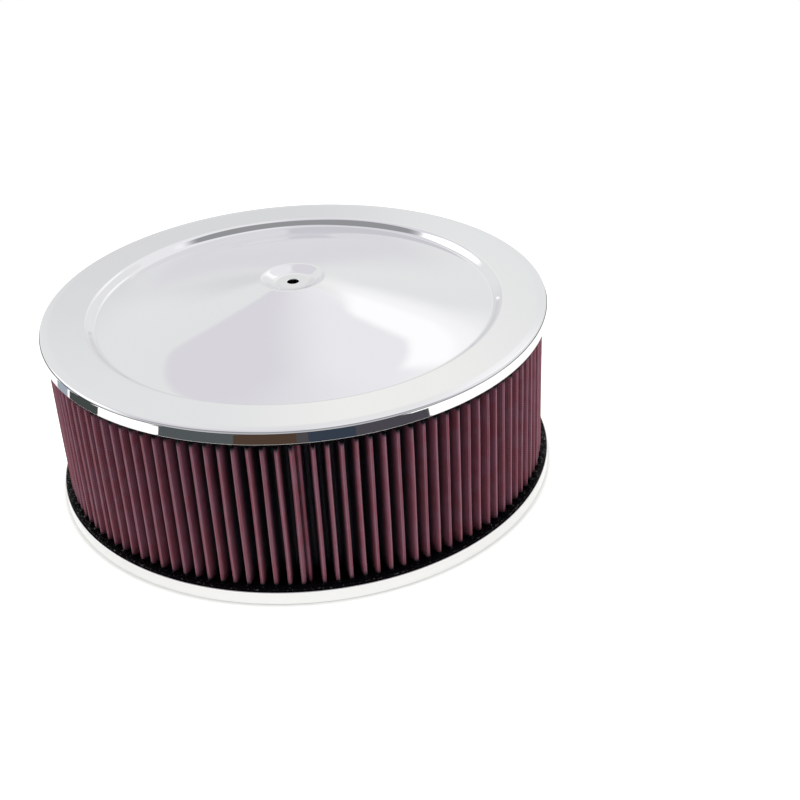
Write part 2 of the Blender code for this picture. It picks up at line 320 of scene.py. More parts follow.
@dataclass(frozen=True)
class OiledGauze:
    """Red-oiled cotton gauze, folded between two screens of coated aluminium wire.

    The cotton is a deep matt maroon, patchy with oil. A slightly lighter tone on the flanks is
    painted light, and a darker tone towards the roots is painted shade. The screen greys the crests
    with a net of fine wires; the grey is partly the wires' own colour and partly a painted sheen
    that fades towards the roots. Black urethane has crept up from the end rings and wets the ends
    of the pleats, with a thin grey film at its edge; that grey is a painted sheen.
    """

    low: float
    high: float
    cotton: str = "#814C5C"
    # Painted light: a slightly lighter tone of the same cotton on the flanks, for the light they get.
    flank: str = "#864D60"
    oily_cotton: str = "#843A4A"
    oily_share: float = 0.75
    # Painted shade: a darker tone of the same cotton towards the roots of the pleats, where shade falls.
    valley: str = "#2A2B34"
    # Partly painted: the wires' own grey plus a painted sheen on them.
    wire: str = "#A58A92"
    # Partly painted: a real thin film of urethane, whose grey is a painted sheen.
    film_and_sheen: str = "#3F3C44"
    wetted: str = "#050608"
    warp: float = 1.4 * MM
    weft: float = 1.8 * MM
    wire_width: float = 0.36 * MM
    wire_and_sheen_cover: float = 0.5
    thread: float = 0.7 * MM
    patch: float = 14.0 * MM
    roughness: float = 0.6
    wet_roughness: float = 0.25
    creep: float = -0.9 * MM
    creep_range: float = 4.0 * MM
    creep_patch: float = 9.0 * MM
    creep_fall: float = 4.0 * MM
    fall_depth: float = 0.33
    creep_blur: float = 2.4 * MM
    drip: float = 2.9 * MM
    bead: float = 1.3 * MM

    def net(self, tree: Tree, flat: Node, spacings: tuple[float, float], width: float) -> Node:
        """Height of a net of threads: the larger of two rows of rounded ridges.

        Args:
            tree: the material's tree.
            flat: place on the unfolded sheet, in metres, as separate numbers.
            spacings: from thread to thread, round the folds and up them.
            width: half the spread of one thread.

        Returns:
            Node whose output is 1 on a thread's top and 0 in the meshes.
        """
        ridges = []
        for axis, spacing in enumerate(spacings):
            cell = add(tree, "Math", {0: flat.outputs[axis], 1: 1.0 / spacing}, operation="MULTIPLY")
            side = add(tree, "Math", {0: cell, 1: 0.5}, operation="PINGPONG")
            ridges.append(add(tree, "MapRange", {
                0: side, 2: width / spacing, 3: 1.0, 4: 0.0,
            }, interpolation_type="SMOOTHSTEP"))
        return add(tree, "Math", dict(enumerate(ridges)), operation="MAXIMUM")

    def wetting(self, tree: Tree, place: Socket, depth: Socket) -> Node:
        """Mask of the urethane that wets both ends of the pleats, up to an uneven, blurred edge.

        Args:
            tree: the material's tree.
            place: place on the object, in metres.
            depth: 0 at the crests and 1 at the roots; the edge falls off behind the crests.

        Returns:
            Node whose output is 1 where the cloth is black.
        """
        height = add(tree, "SeparateXYZ", {0: place}).outputs[2]
        wander = add(tree, "TexNoise", {"Vector": place, "Scale": 1.0 / self.creep_patch})
        crest_reach = add(tree, "Math", {
            0: wander, 1: self.creep_range, 2: self.creep,
        }, operation="MULTIPLY_ADD")
        fall = add(tree, "MapRange", {0: depth, 2: self.fall_depth, 4: self.creep_fall})
        reach = add(tree, "Math", {0: crest_reach, 1: fall}, operation="SUBTRACT")
        ends = []
        for start, way in ((self.low, 1.0), (self.high - self.drip, -1.0)):
            above = add(tree, "Math", {0: height, 1: way, 2: -way * start}, operation="MULTIPLY_ADD")
            beyond = add(tree, "Math", {0: above, 1: reach}, operation="SUBTRACT")
            ends.append(add(tree, "MapRange", {
                0: beyond, 1: -self.creep_blur, 2: self.creep_blur, 3: 1.0, 4: 0.0,
            }, interpolation_type="SMOOTHSTEP"))
        return add(tree, "Math", dict(enumerate(ends)), operation="MAXIMUM")

    def build(self) -> Material:
        """Make the material.

        The wires are drawn about one and a half times as thick as real ones, so that the net shows.
        """
        material, tree = blank_material("oiled_cotton_gauze")
        places = add(tree, "TexCoord")
        place = places.outputs["Object"]
        flat = add(tree, "SeparateXYZ", {0: places.outputs["UV"]})
        depth = add(tree, "Attribute", attribute_name="depth").outputs["Fac"]
        screen = self.net(tree, flat, (self.warp, self.weft), self.wire_width)
        weave = self.net(tree, flat, (self.thread, self.thread), self.thread / 2.0)
        patches = add(tree, "TexNoise", {"Vector": place, "Scale": 1.0 / self.patch, "Detail": 3.0})
        # What drives each layer, where it starts and is full, the most it covers, and its colour. The
        # flank layer is painted light and the valley layer is painted shade.
        layers = (
            (depth, 0.005, 0.06, 1.0, self.flank),
            (patches, 0.42, 0.60, self.oily_share, self.oily_cotton),
            (depth, 0.15, 0.52, 1.0, self.valley),
        )
        colour = linear(self.cotton)
        for driver, start, end, most, tint in layers:
            share = add(tree, "MapRange", {
                0: driver, 1: start, 2: end, 4: most,
            }, interpolation_type="SMOOTHSTEP")
            colour = add(tree, "Mix", {0: share, 6: colour, 7: linear(tint)}, data_type="RGBA").outputs[2]
        # Painted sheen: the wires show most on the crests and fade towards the roots, where shade falls.
        wire_and_sheen_fade = add(tree, "MapRange", {0: depth, 2: 0.35, 3: self.wire_and_sheen_cover, 4: 0.1})
        wires = add(tree, "Math", {0: screen, 1: wire_and_sheen_fade}, operation="MULTIPLY")
        wet = self.wetting(tree, place, depth)
        # Painted sheen: the grey at the wet edge stands for light on the thin urethane film.
        film_and_sheen = add(tree, "MapRange", {0: wet, 2: 0.6})
        soaked = add(tree, "MapRange", {0: wet, 1: 0.45, 2: 0.95})
        for share, tint in ((wires, self.wire), (film_and_sheen, self.film_and_sheen), (soaked, self.wetted)):
            colour = add(tree, "Mix", {0: share, 6: colour, 7: linear(tint)}, data_type="RGBA").outputs[2]
        rough = add(tree, "MapRange", {0: wet, 3: self.roughness, 4: self.wet_roughness})
        cloth_relief = add(tree, "Math", {0: weave, 1: 0.25, 2: screen}, operation="MULTIPLY_ADD")
        beads = add(tree, "TexNoise", {"Vector": place, "Scale": 1.0 / self.bead})
        wet_relief = add(tree, "Math", {0: beads, 1: 4.0, 2: -1.4}, operation="MULTIPLY_ADD")
        relief = add(tree, "Mix", {0: wet, 2: cloth_relief, 3: wet_relief})
        bump = add(tree, "Bump", {"Strength": 0.6, "Distance": 0.2 * MM, "Height": relief})
        glints = add(tree, "MapRange", {0: beads, 1: 0.62, 2: 0.7, 3: 0.04, 4: 1.0})
        shine = add(tree, "Mix", {0: wet, 2: 0.3, 3: glints})
        cloth = add(tree, "BsdfPrincipled", {
            "Base Color": colour, "Roughness": rough, "Normal": bump, "Specular IOR Level": shine,
        })
        add(tree, "OutputMaterial", {"Surface": cloth})
        return material


@dataclass(frozen=True)
class PouredUrethane:
    """Black two-part urethane, poured round the ends of the pleats and cured in a mould.

    A soft black skin, dull but for glints on small beads, and pitted by small bubbles.
    """

    colour: str = "#060608"
    roughness: float = 0.3
    roughness_spread: float = 0.1
    pit: float = 1.6 * MM
    skin: float = 4.0 * MM
    bead: float = 1.3 * MM

    def build(self) -> Material:
        """Make the material."""
        material, tree = blank_material("poured_black_urethane")
        place = add(tree, "TexCoord").outputs["Object"]
        cells = add(tree, "TexVoronoi", {"Vector": place, "Scale": 1.0 / self.pit})
        pits = add(tree, "MapRange", {0: cells, 1: 0.05, 2: 0.30, 4: 0.5})
        skin = add(tree, "TexNoise", {"Vector": place, "Scale": 1.0 / self.skin, "Detail": 3.0})
        relief = add(tree, "Math", {0: pits, 1: skin}, operation="ADD")
        bump = add(tree, "Bump", {"Strength": 0.7, "Distance": 0.3 * MM, "Height": relief})
        rough = add(tree, "MapRange", {
            0: skin, 1: 0.3, 2: 0.7,
            3: self.roughness - self.roughness_spread, 4: self.roughness + self.roughness_spread,
        })
        beads = add(tree, "TexNoise", {"Vector": place, "Scale": 1.0 / self.bead})
        glints = add(tree, "MapRange", {0: beads, 1: 0.60, 2: 0.66, 3: 0.02, 4: 1.0})
        rubber = add(tree, "BsdfPrincipled", {
            "Base Color": linear(self.colour), "Roughness": rough, "Normal": bump,
            "Specular IOR Level": glints,
        })
        add(tree, "OutputMaterial", {"Surface": rubber})
        return material


@dataclass(frozen=True)
class MouldedRubber:
    """Black moulded gasket rubber: matt, with a fine grain and a pale bloom here and there."""

    colour: str = "#1E1D22"
    bloom: str = "#2E2E36"
    roughness: float = 0.7
    grain: float = 0.8 * MM
    bloom_patch: float = 18.0 * MM

    def build(self) -> Material:
        """Make the material."""
        material, tree = blank_material("moulded_gasket_rubber")
        place = add(tree, "TexCoord").outputs["Object"]
        grain = add(tree, "TexNoise", {"Vector": place, "Scale": 1.0 / self.grain, "Detail": 3.0})
        bump = add(tree, "Bump", {"Strength": 0.5, "Distance": 0.15 * MM, "Height": grain})
        cloud = add(tree, "TexNoise", {"Vector": place, "Scale": 1.0 / self.bloom_patch})
        share = add(tree, "MapRange", {0: cloud, 1: 0.4, 2: 0.7}, interpolation_type="SMOOTHSTEP")
        colour = add(tree, "Mix", {
            0: share, 6: linear(self.colour), 7: linear(self.bloom),
        }, data_type="RGBA").outputs[2]
        rubber = add(tree, "BsdfPrincipled", {
            "Base Color": colour, "Roughness": self.roughness, "Normal": bump,
        })
        add(tree, "OutputMaterial", {"Surface": rubber})
        return material


# Sub-assemblies


@dataclass(frozen=True)
class Lid:
    """Pressed lid: rim, flat seat, step, crown of two arcs, and the dimple with its hole.

    The seat falls away a little in its last few millimetres, where the sheet rolls into the rim.
    """

    seat: float
    radius: float
    sheet: float = 0.9 * MM
    rim_height: float = 9.4 * MM
    edge_bend: float = 2.1 * MM
    roll_run: float = 6.5 * MM
    roll_drop: float = 0.42 * MM
    roll_bend: float = 40.0 * MM
    step_bend: float = 3.4 * MM
    step_radius: float = 145.4 * MM
    step_run: float = 4.6 * MM
    step_depth: float = 4.8 * MM
    foot_run: float = 35.8 * MM
    foot_slope: float = math.radians(5.6)
    shoulder_slope: float = math.radians(13.4)
    brow_slope: float = math.radians(8.8)
    dimple_radius: float = 21.5 * MM
    floor_radius: float = 14.3 * MM
    dimple_depth: float = 3.7 * MM
    brow_bend: float = 8.0 * MM
    floor_bend: float = 13.0 * MM
    hole_radius: float = 4.1 * MM
    segments: int = 360
    bend_steps: int = 8
    slope_rings: int = 16

    def climb(self, start: Array, slope: float, end_radius: float, end_slope: float) -> Array:
        """Arc that runs inwards and up from a start, from one slope to another.

        The slope's sine changes evenly with the radius r. The bend radius is the run over the
        sine's change, and the height gained is that times cos(first slope) - sqrt(1 - sine(r)^2).

        Args:
            start: radius and height of the start.
            slope: slope at the start, in radians.
            end_radius: radius at the end.
            end_slope: slope at the end.

        Returns:
            Rows of radius, height and a bend of 0, without the start.
        """
        share = np.arange(1, self.slope_rings + 1) / self.slope_rings
        radius = start[0] + (end_radius - start[0]) * share
        sine = math.sin(slope) + (math.sin(end_slope) - math.sin(slope)) * share
        bend = (start[0] - end_radius) / (math.sin(end_slope) - math.sin(slope))
        height = start[1] + bend * (math.cos(slope) - np.sqrt(1.0 - sine**2))
        return np.stack([radius, height, 0.0 * radius], 1)

    def profile(self) -> Array:
        """Upper face from the foot of the rim in to the hole, as radius and height."""
        top = self.seat + self.sheet
        recess = self.step_radius - self.step_run
        foot = np.array([recess, top - self.step_depth, self.step_bend])
        ease = self.climb(foot, self.foot_slope, recess - self.foot_run, self.shoulder_slope)
        crown = self.climb(ease[-1], self.shoulder_slope, self.dimple_radius, self.brow_slope)
        brow = crown[-1, 1]
        outer = [[self.radius, top - self.rim_height, 0.0],
                 [self.radius, top - self.roll_drop, self.edge_bend],
                 [self.radius - self.roll_run, top, self.roll_bend],
                 [self.step_radius, top, self.step_bend]]
        inner = [[self.dimple_radius, brow, self.brow_bend],
                 [self.floor_radius, brow - self.dimple_depth, self.floor_bend],
                 [self.hole_radius, brow - self.dimple_depth, 0.0]]
        return rounded(np.vstack([outer, foot[None], ease, crown[:-1], inner]), self.bend_steps)

    def build(self) -> Piece:
        """Turn the sheet's section about the axis."""
        section = sheet_section(self.profile(), self.sheet)
        return grid_mesh("lid_pressing", turned(section, self.segments))


@dataclass(frozen=True)
class BasePlate:
    """Pressed base: rim, flat seat, step, field with the breather port, gasket seat and neck."""

    radius: float
    sheet: float = 0.9 * MM
    rim_height: float = 9.8 * MM
    edge_bend: float = 1.7 * MM
    step_bend: float = 2.6 * MM
    step_radius: float = 145.4 * MM
    step_run: float = 4.6 * MM
    step_height: float = 5.0 * MM
    recess_radius: float = 81.5 * MM
    recess_run: float = 0.8 * MM
    recess_depth: float = 1.6 * MM
    recess_bend: float = 0.9 * MM
    neck_radius: float = 70.0 * MM
    neck_lip: float = 8.4 * MM
    neck_bend: float = 2.0 * MM
    port_radius: float = 13.0 * MM
    port_angle: float = math.radians(120.0)
    fixing_spacing: float = 40.0 * MM
    fixing_radius: float = 2.6 * MM
    hole_segments: int = 64
    sharp_angle: float = math.radians(40.0)
    segments: int = 360
    bend_steps: int = 8

    def profile(self) -> Array:
        """Under face from the top of the rim in to the lip of the neck, as radius and height."""
        gasket_seat = self.step_height + self.recess_depth
        corners = [
            [self.radius, self.rim_height, 0.0],
            [self.radius, 0.0, self.edge_bend],
            [self.step_radius, 0.0, self.step_bend],
            [self.step_radius - self.step_run, self.step_height, self.step_bend],
            [self.recess_radius + self.recess_run, self.step_height, self.recess_bend],
            [self.recess_radius, gasket_seat, self.recess_bend],
            [self.neck_radius, gasket_seat, self.neck_bend],
            [self.neck_radius, gasket_seat + self.neck_lip, 0.0],
        ]
        return rounded(np.array(corners), self.bend_steps)

    def plug(self, name: str, place: Array, radius: float) -> Piece:
        """Closed upright cylinder through the field, as the cutter of one hole.

        Args:
            name: the cutter's name.
            place: middle of the hole, in x and y.
            radius: the hole's radius.

        Returns:
            The cutter object.
        """
        low, high = self.step_height - 2.0 * self.sheet, self.step_height + 3.0 * self.sheet
        shape = bmesh.new()
        bmesh.ops.create_cone(
            shape, cap_ends=True, segments=self.hole_segments, radius1=radius, radius2=radius,
            depth=high - low, matrix=Matrix.Translation((*place, (low + high) / 2.0)),
        )
        mesh = bpy.data.meshes.new(name)
        shape.to_mesh(mesh)
        shape.free()
        return in_scene(name, mesh)

    def build(self) -> Piece:
        """Turn the sheet's section about the axis and cut the port and its two fixing holes."""
        section = sheet_section(self.profile(), -self.sheet)
        piece = grid_mesh("base_pressing", turned(section, self.segments))
        field = (self.step_radius - self.step_run + self.recess_radius + self.recess_run) / 2.0
        outward = np.array([math.cos(self.port_angle), math.sin(self.port_angle)])
        across = np.array([-outward[1], outward[0]]) * self.fixing_spacing / 2.0
        port = outward * field
        plugs = [self.plug("port_cutter", port, self.port_radius)]
        for way in (1.0, -1.0):
            plugs.append(self.plug("fixing_cutter", port + way * across, self.fixing_radius))
        for plug in plugs:
            cut = piece.modifiers.new(plug.name, "BOOLEAN")
            cut.operation, cut.solver, cut.object = "DIFFERENCE", "EXACT", plug
        evaluated = piece.evaluated_get(bpy.context.evaluated_depsgraph_get())
        whole, piece.data = piece.data, bpy.data.meshes.new_from_object(evaluated)
        piece.modifiers.clear()
        bpy.data.meshes.remove(whole)
        for plug in plugs:
            bpy.data.objects.remove(plug)
        piece.data.set_sharp_from_angle(angle=self.sharp_angle)
        return piece


@dataclass(frozen=True)
class PleatedPack:
    """One sheet of gauze and wire screen, folded round and joined in one glued lap."""

    low: float
    high: float
    outer_radius: float = 174.7 * MM
    depth: float = 20.0 * MM
    pitch_length: float = 8.95 * MM
    sheet: float = 0.9 * MM
    crest_fold: float = 0.75 * MM
    root_fold: float = 2.0 * MM
    lap_step: float = 4.2 * MM
    lap_groove: float = 7.6 * MM
    glued_share: float = 0.45
    crest_steps: int = 8
    root_steps: int = 5
    flank_shares: tuple[float, ...] = (0.05, 0.5, 0.95)
    rows: int = 12
    sway_mm: float = 0.32
    sway_weights: tuple[float, ...] = (0.75, 1.0, 0.5)
    root_sway: float = 0.45
    seed: int = 7

    @property
    def inner_radius(self) -> float:
        """Radius of the roots."""
        return self.outer_radius - self.depth

    @property
    def count(self) -> int:
        """Number of roots; the lap adds half a pitch."""
        return round(FULL_TURN * self.outer_radius / self.pitch_length - 0.5)

    @property
    def pitch(self) -> float:
        """Angle from crest to crest."""
        return FULL_TURN / (self.count + 0.5)

    @property
    def crest_half(self) -> float:
        """Half the width of a crest."""
        return self.crest_fold + self.sheet / 2.0

    @property
    def crest_radius(self) -> float:
        """Radius of the middles of the crests' bends."""
        return self.outer_radius - self.crest_half

    @property
    def root_radius(self) -> float:
        """Radius of the middles of the roots' bends."""
        return self.inner_radius + self.root_fold + self.sheet / 2.0

    @property
    def lean(self) -> float:
        """Angle of a flank to its crest's own radius.

        The line between the two middles makes atan(across / along) with it, less the angle whose
        sine is the sum of the two bends over that line's length.
        """
        across = self.root_radius * math.sin(self.pitch / 2.0)
        along = self.crest_radius - self.root_radius * math.cos(self.pitch / 2.0)
        bends = self.crest_fold + self.root_fold
        return math.atan2(across, along) - math.asin(bends / math.hypot(across, along))

    def folds(self, radius: Array | float, bend: float, angles: Array, span: float, steps: int,
              way: float) -> Pair:
        """Outer and inner face of the sheet round several folds at once.

        Each fold is an arc about its own centre. A crest bulges outward and a root inward, so the
        two faces swap their bend radii there.

        Args:
            radius: radius of the folds' centres.
            bend: bend radius of the sheet's middle.
            angles: the folds' angles.
            span: half the angle that each arc turns through.
            steps: chords in each arc.
            way: 1 for crests, -1 for roots.

        Returns:
            Two arrays of plan points, folds by steps + 1 by 2.
        """
        centre = polar(radius, angles)[:, None]
        turn = np.linspace(-span, span, steps + 1)[None]
        arm = way * polar(1.0, angles[:, None] + way * turn)
        half = self.sheet / 2.0
        return centre + arm * (bend + way * half), centre + arm * (bend - way * half)

    def flanks(self, start: Array, end: Array) -> Array:
        """Points inside the straight flanks that join each start to its end."""
        share = np.array(self.flank_shares)[None, :, None]
        return start[:, None] + (end - start)[:, None] * share

    def faces(self) -> Pair:
        """Outer and inner face of the sheet once round the plan, starting at the lap's first crest."""
        span, index = math.pi / 2.0 - self.lean, np.arange(self.count + 1)
        crest_angles, root_angles = self.pitch * (index + 0.25), self.pitch * (index[:-1] + 0.75)
        crest_radii = self.crest_radius - self.lap_step * (index == 0)
        crests = self.folds(crest_radii, self.crest_fold, crest_angles, span, self.crest_steps, 1.0)
        roots = self.folds(self.root_radius, self.root_fold, root_angles, span - self.pitch / 2.0,
                           self.root_steps, -1.0)
        paths = []
        for crest, root, lap in zip(crests, roots, self.lap(crests, roots)):
            down = self.flanks(np.vstack([lap[-1:], crest[1:-1, -1]]), root[:, 0])
            up = self.flanks(root[:, -1], np.vstack([crest[1:-1, 0], lap[:1]]))
            valley = np.concatenate([down, root, up], axis=1)
            ridge_and_valley = np.concatenate([valley[:-1], crest[1:-1]], axis=1).reshape(-1, 2)
            paths.append(np.vstack([lap, ridge_and_valley, valley[-1]]))
        return paths[0], paths[1]

    def lap(self, crests: Pair, roots: Pair) -> Pair:
        """The glued lap: the first crest is tucked in beside the last, with one solid web behind.

        The outer face dips into a groove between the two crests. The inner face is a straight line
        across, between the places that lie glued_share of the way down the two flanks.

        Args:
            crests: outer and inner faces of all the crests.
            roots: outer and inner faces of all the roots.

        Returns:
            Outer and inner plan points of the lap.
        """
        groove = polar(self.outer_radius - self.lap_groove, 0.0)[None]
        outer = np.vstack([crests[0][-1, :-1], groove, crests[0][0, 1:]])
        tops = np.stack([crests[1][-1, 0], crests[1][0, -1]])
        ends = tops + (np.stack([roots[1][-1, -1], roots[1][0, 0]]) - tops) * self.glued_share
        return outer, np.linspace(ends[0], ends[1], len(outer))

    def sway(self, turns: Array, heights: Array) -> Pair:
        """Small shifts of the folds, different for each and changing up its height.

        Each fold has its own random numbers for the modes 1, sin(pi z) and sin(2 pi z), with z the
        share of the height. Between folds they change evenly, and a root moves less than a crest.

        Args:
            turns: places round the pack, in pitches.
            heights: shares of the height.

        Returns:
            Shift round the pack in metres, and outward in metres, each places by heights.
        """
        rng = np.random.default_rng(self.seed)
        knots = np.arange(0.25, self.count + 0.5, 0.5)
        strength = np.where(np.arange(len(knots)) % 2 == 0, 1.0, self.root_sway)
        turn = math.pi * heights
        modes = np.stack([np.ones_like(turn), np.sin(turn), np.sin(2.0 * turn)])
        weights = np.array(self.sway_weights) * self.sway_mm * MM
        shifts = []
        for direction in range(2):
            numbers = rng.uniform(-1.0, 1.0, (3, len(knots))) * strength * weights[:, None]
            table = np.stack([np.interp(turns, knots, row, period=self.count + 0.5) for row in numbers])
            shifts.append(np.einsum("mp,mh->ph", table, modes))
        return shifts[0], shifts[1]

    def build(self) -> Piece:
        """Carry the folded plan up the height, swayed, and close it at both ends.

        Rows of the grid are places round the plan. Its columns run up the outer face and down the
        inner one. UV is the length along the sheet and the height, both in metres.
        """
        outer, inner = self.faces()
        heights = np.linspace(0.0, 1.0, self.rows)
        turns = (np.arctan2(outer[:, 0], -outer[:, 1]) / self.pitch) % (self.count + 0.5)
        round_shift, out_shift = self.sway(turns, heights)
        columns = []
        for face in (outer, inner):
            radius = np.linalg.norm(face, axis=1)[:, None]
            angle = np.arctan2(face[:, 0], -face[:, 1])[:, None]
            share = np.clip((radius - self.inner_radius) / self.depth, 0.0, 1.0)
            swayed = radius + out_shift * share - self.sway_mm * MM * share
            plan = polar(swayed, angle + round_shift / radius)
            z = self.low + (self.high - self.low) * heights[None] + 0.0 * radius
            columns.append(np.concatenate([plan, z[..., None]], -1))
        grid = np.concatenate([columns[0], columns[1][:, ::-1]], axis=1)
        radius = np.linalg.norm(grid[..., :2], axis=-1)
        depth = np.clip((self.outer_radius - radius) / self.depth, 0.0, 1.0)
        middle = np.vstack([(outer + inner) / 2.0, (outer[:1] + inner[:1]) / 2.0])
        length = np.concatenate([[0.0], np.cumsum(np.linalg.norm(np.diff(middle, axis=0), axis=1))])
        rise = np.concatenate([grid[0, :, 2], grid[0, :1, 2]])
        uv = np.stack(np.broadcast_arrays(length[:, None], rise[None]), -1)
        return grid_mesh("pleated_gauze", grid, uv, values={"depth": depth})


@dataclass(frozen=True)
class EndSeal:
    """Poured end ring of the element, with a lip before the crests and a lower face behind it."""

    pack: PleatedPack
    end: End
    outer_face: float
    outer_radius: float = 176.4 * MM
    inner_radius: float = 150.0 * MM
    height: float = 9.2 * MM
    lip_height: float = 10.2 * MM
    lip_round: float = 0.6 * MM
    edge_round: float = 1.0 * MM
    fall_run: float = 4.0 * MM
    creep_height: float = 1.1 * MM
    creep_reach: float = 0.8 * MM
    steps_per_pleat: int = 10
    rings: int = 26
    edge_steps: int = 4

    def section(self) -> Pair:
        """Closed section of the ring from its moulded face, with a mask of the points that creep.

        The open face lies at lip_height outside the crests. From there it falls inward to the
        plain height by half a cosine wave.

        Returns:
            Rows of radius and height above the moulded face, and 1 where the urethane set open.
        """
        corner, lip = self.edge_round, 2.0 * self.lip_round
        shell = rounded(np.array([
            [self.inner_radius, self.height, 0.0],
            [self.inner_radius, 0.0, corner],
            [self.outer_radius, 0.0, corner],
            [self.outer_radius, self.lip_height, self.lip_round],
            [self.outer_radius - lip, self.lip_height, 0.0],
        ]), self.edge_steps)
        ledge = self.outer_radius - self.pack.outer_radius
        behind = np.linspace(ledge, self.outer_radius - self.inner_radius, self.rings + 1)[:-1]
        out = np.concatenate([np.linspace(lip, ledge, 6)[1:-1], behind])
        fall = 0.5 - 0.5 * np.cos(math.pi * np.clip((out - ledge) / self.fall_run, 0.0, 1.0))
        level = self.lip_height + (self.height - self.lip_height) * fall
        poured = np.stack([self.outer_radius - out, level], 1)
        mask = np.concatenate([np.zeros(len(shell)), np.ones(len(poured))])
        return np.vstack([shell, poured]), mask

    def build(self) -> Piece:
        """Turn the section and raise the open face near the sheet.

        At a depth d behind the crests the sheet stands bend sqrt(1 - (1 - d / h)^2) beside the
        middle of its crest, with h half the crest's width, plus tan(lean) times what d has beyond
        h. The face rises by creep_height times exp(-a / creep_reach), with a the distance from
        there less half the sheet: round the ring, and outward too beyond the crests.
        """
        pack = self.pack
        section, mask = self.section()
        grid = turned(section, round(self.steps_per_pleat * (pack.count + 1)))
        radius = np.linalg.norm(grid[..., :2], axis=-1)
        turns = (np.arctan2(grid[..., 0], -grid[..., 1]) / pack.pitch - 0.25) % (pack.count + 0.5)
        side = np.abs(turns - np.round(turns)) * pack.pitch * radius
        behind = pack.outer_radius - radius
        arc = pack.crest_fold * np.sqrt(1.0 - (1.0 - np.clip(behind / pack.crest_half, 0.0, 1.0)) ** 2)
        stand = arc + math.tan(pack.lean) * np.maximum(behind - pack.crest_half, 0.0)
        beyond = np.maximum(pack.sheet / 2.0 - behind, 0.0)
        away = np.hypot(side - stand, beyond) - pack.sheet / 2.0
        near = np.exp(-np.maximum(away, 0.0) / self.creep_reach)
        inside = radius > pack.inner_radius - 1.5 * MM
        way = 1.0 if self.end is End.LOWER else -1.0
        rise = grid[..., 2] + self.creep_height * near * mask[None] * inside
        grid[..., 2] = self.outer_face + way * rise
        return grid_mesh(f"{self.end.value}_urethane_ring", grid)


@dataclass(frozen=True)
class NeckGasket:
    """Moulded rubber ring in its recess under the neck."""

    seat: float
    inner_radius: float = 74.75 * MM
    width: float = 6.25 * MM
    thickness: float = 3.2 * MM
    edge_round: float = 0.7 * MM
    segments: int = 240
    bend_steps: int = 4

    def build(self) -> Piece:
        """Turn a rectangle with rounded edges about the axis."""
        inner, low, bend = self.inner_radius, self.seat, self.edge_round
        outer, top, middle = inner + self.width, low + self.thickness, inner + self.width / 2.0
        corners = [[middle, low, 0.0], [outer, low, bend], [outer, top, bend],
                   [inner, top, bend], [inner, low, bend], [middle - bend / 2.0, low, 0.0]]
        section = rounded(np.array(corners), self.bend_steps)
        return grid_mesh("neck_gasket_ring", turned(section, self.segments))


# Studio


def aimed(heading: float, down: float, roll: float = 0.0) -> Matrix:
    """Rotation of a camera or lamp: Rz(-heading) Rx(90 degrees - down) Rz(roll).

    Args:
        heading: angle of the line of sight from +Y, towards +X, in radians.
        down: its angle below the horizon.
        roll: turn about it.

    Returns:
        The rotation, 4 by 4.
    """
    turn = Matrix.Rotation(-heading, 4, "Z") @ Matrix.Rotation(math.pi / 2.0 - down, 4, "X")
    return turn @ Matrix.Rotation(roll, 4, "Z")


@dataclass(frozen=True)
class Patch:
    """Soft-edged patch of the studio's wall or ceiling, by its direction in degrees.

    The azimuth grows to the right of the way the camera looks.
    """

    name: str
    azimuth: float
    elevation: float
    half_width: float
    half_height: float
    softness: float
    colour: str
    strength: float


@dataclass(frozen=True)
class Flag:
    """Dark card on the floor, a sector of a ring about the object, by its angles in degrees.

    The angles grow to the right from below the camera. Beyond the ring that the rim's lower half
    mirrors, the two ends lean by start_lean and end_lean.
    """

    name: str
    start: float
    end: float
    colour: str
    start_lean: float = 0.0
    end_lean: float = 0.0


@dataclass(frozen=True)
class Lamp:
    """Square soft lamp aimed at the object, by its direction in degrees; mirrors don't show it."""

    name: str
    azimuth: float
    elevation: float
    size: float
    watts: float


